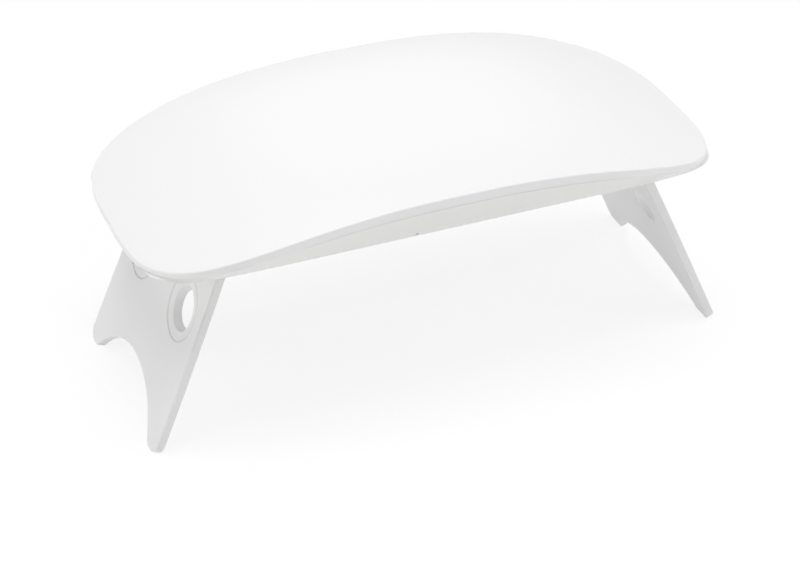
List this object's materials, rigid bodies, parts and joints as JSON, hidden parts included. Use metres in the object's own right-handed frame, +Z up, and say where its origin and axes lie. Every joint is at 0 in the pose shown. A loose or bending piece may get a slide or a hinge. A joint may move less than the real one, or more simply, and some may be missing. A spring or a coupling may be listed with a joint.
{
  "type": "mini uv nail lamp",
  "caption": "Small table lamp with a crowned white shell on fold-away slanted legs, ultraviolet emitters underneath, a side button and a supply socket.",
  "frame": {"origin": "on the surface that the feet stand on, under the middle of the body", "axes": "+X along the lamp, +Y towards the side with the button and the supply socket, +Z up"},
  "size_m": [0.1368, 0.072, 0.0594],
  "materials": {
    "cover_gloss": "polished moulded white",
    "casing_white": "moulded white, satin gloss",
    "leg_white": "moulded white, satin",
    "pin_steel": "drawn steel",
    "reflector_silver": "bright sheet",
    "board_white": "white solder mask",
    "led_ceramic": "emitter package with a yellow middle",
    "lens_clear": "clear moulded dome",
    "chip_black": "moulded black resin",
    "ferrite_grey": "pressed ferrite",
    "capacitor_tan": "fired ceramic",
    "socket_steel": "plated sheet steel",
    "button_white": "moulded white",
    "screw_steel": "zinc plated"
  },
  "bodies": {
    "housing": {"top_cover": "cover_gloss", "lower_casing": "casing_white", "reflector_panel": "reflector_silver", "circuit_board": "board_white", "timer_chip": "chip_black", "driver_chip": "chip_black", "power_inductor": "ferrite_grey", "chip_resistors": "chip_black", "chip_capacitors": "capacitor_tan", "micro_usb_shell": "socket_steel", "micro_usb_tongue": "chip_black", "switch_body": "chip_black", "casing_screws": "screw_steel", "board_screws": "screw_steel", "uv_led_1": "led_ceramic", "uv_led_2": "led_ceramic", "uv_led_3": "led_ceramic", "uv_led_4": "led_ceramic", "uv_led_5": "led_ceramic", "uv_led_6": "led_ceramic", "uv_lens_1": "lens_clear", "uv_lens_2": "lens_clear", "uv_lens_3": "lens_clear", "uv_lens_4": "lens_clear", "uv_lens_5": "lens_clear", "uv_lens_6": "lens_clear"},
    "left_leg": {"left_leg": "leg_white", "left_hinge_pins": "pin_steel"},
    "right_leg": {"right_leg": "leg_white", "right_hinge_pins": "pin_steel"},
    "button": {"timer_button": "button_white", "switch_plunger": "button_white"}
  },
  "joints": [
    {"name": "left_leg_hinge", "type": "hinge", "parent": "housing", "child": "left_leg", "pos_m": [-0.04905, 0, 0.0448], "axis": [0, -1, 0], "range_deg": [0, 113.5]},
    {"name": "right_leg_hinge", "type": "hinge", "parent": "housing", "child": "right_leg", "pos_m": [0.04905, 0, 0.0448], "axis": [0, 1, 0], "range_deg": [0, 113.5]},
    {"name": "button_press", "type": "slide", "parent": "housing", "child": "button", "axis": [0, -1, 0], "range_m": [0, 0.0003], "stiffness_N_per_m": 3000}
  ]
}
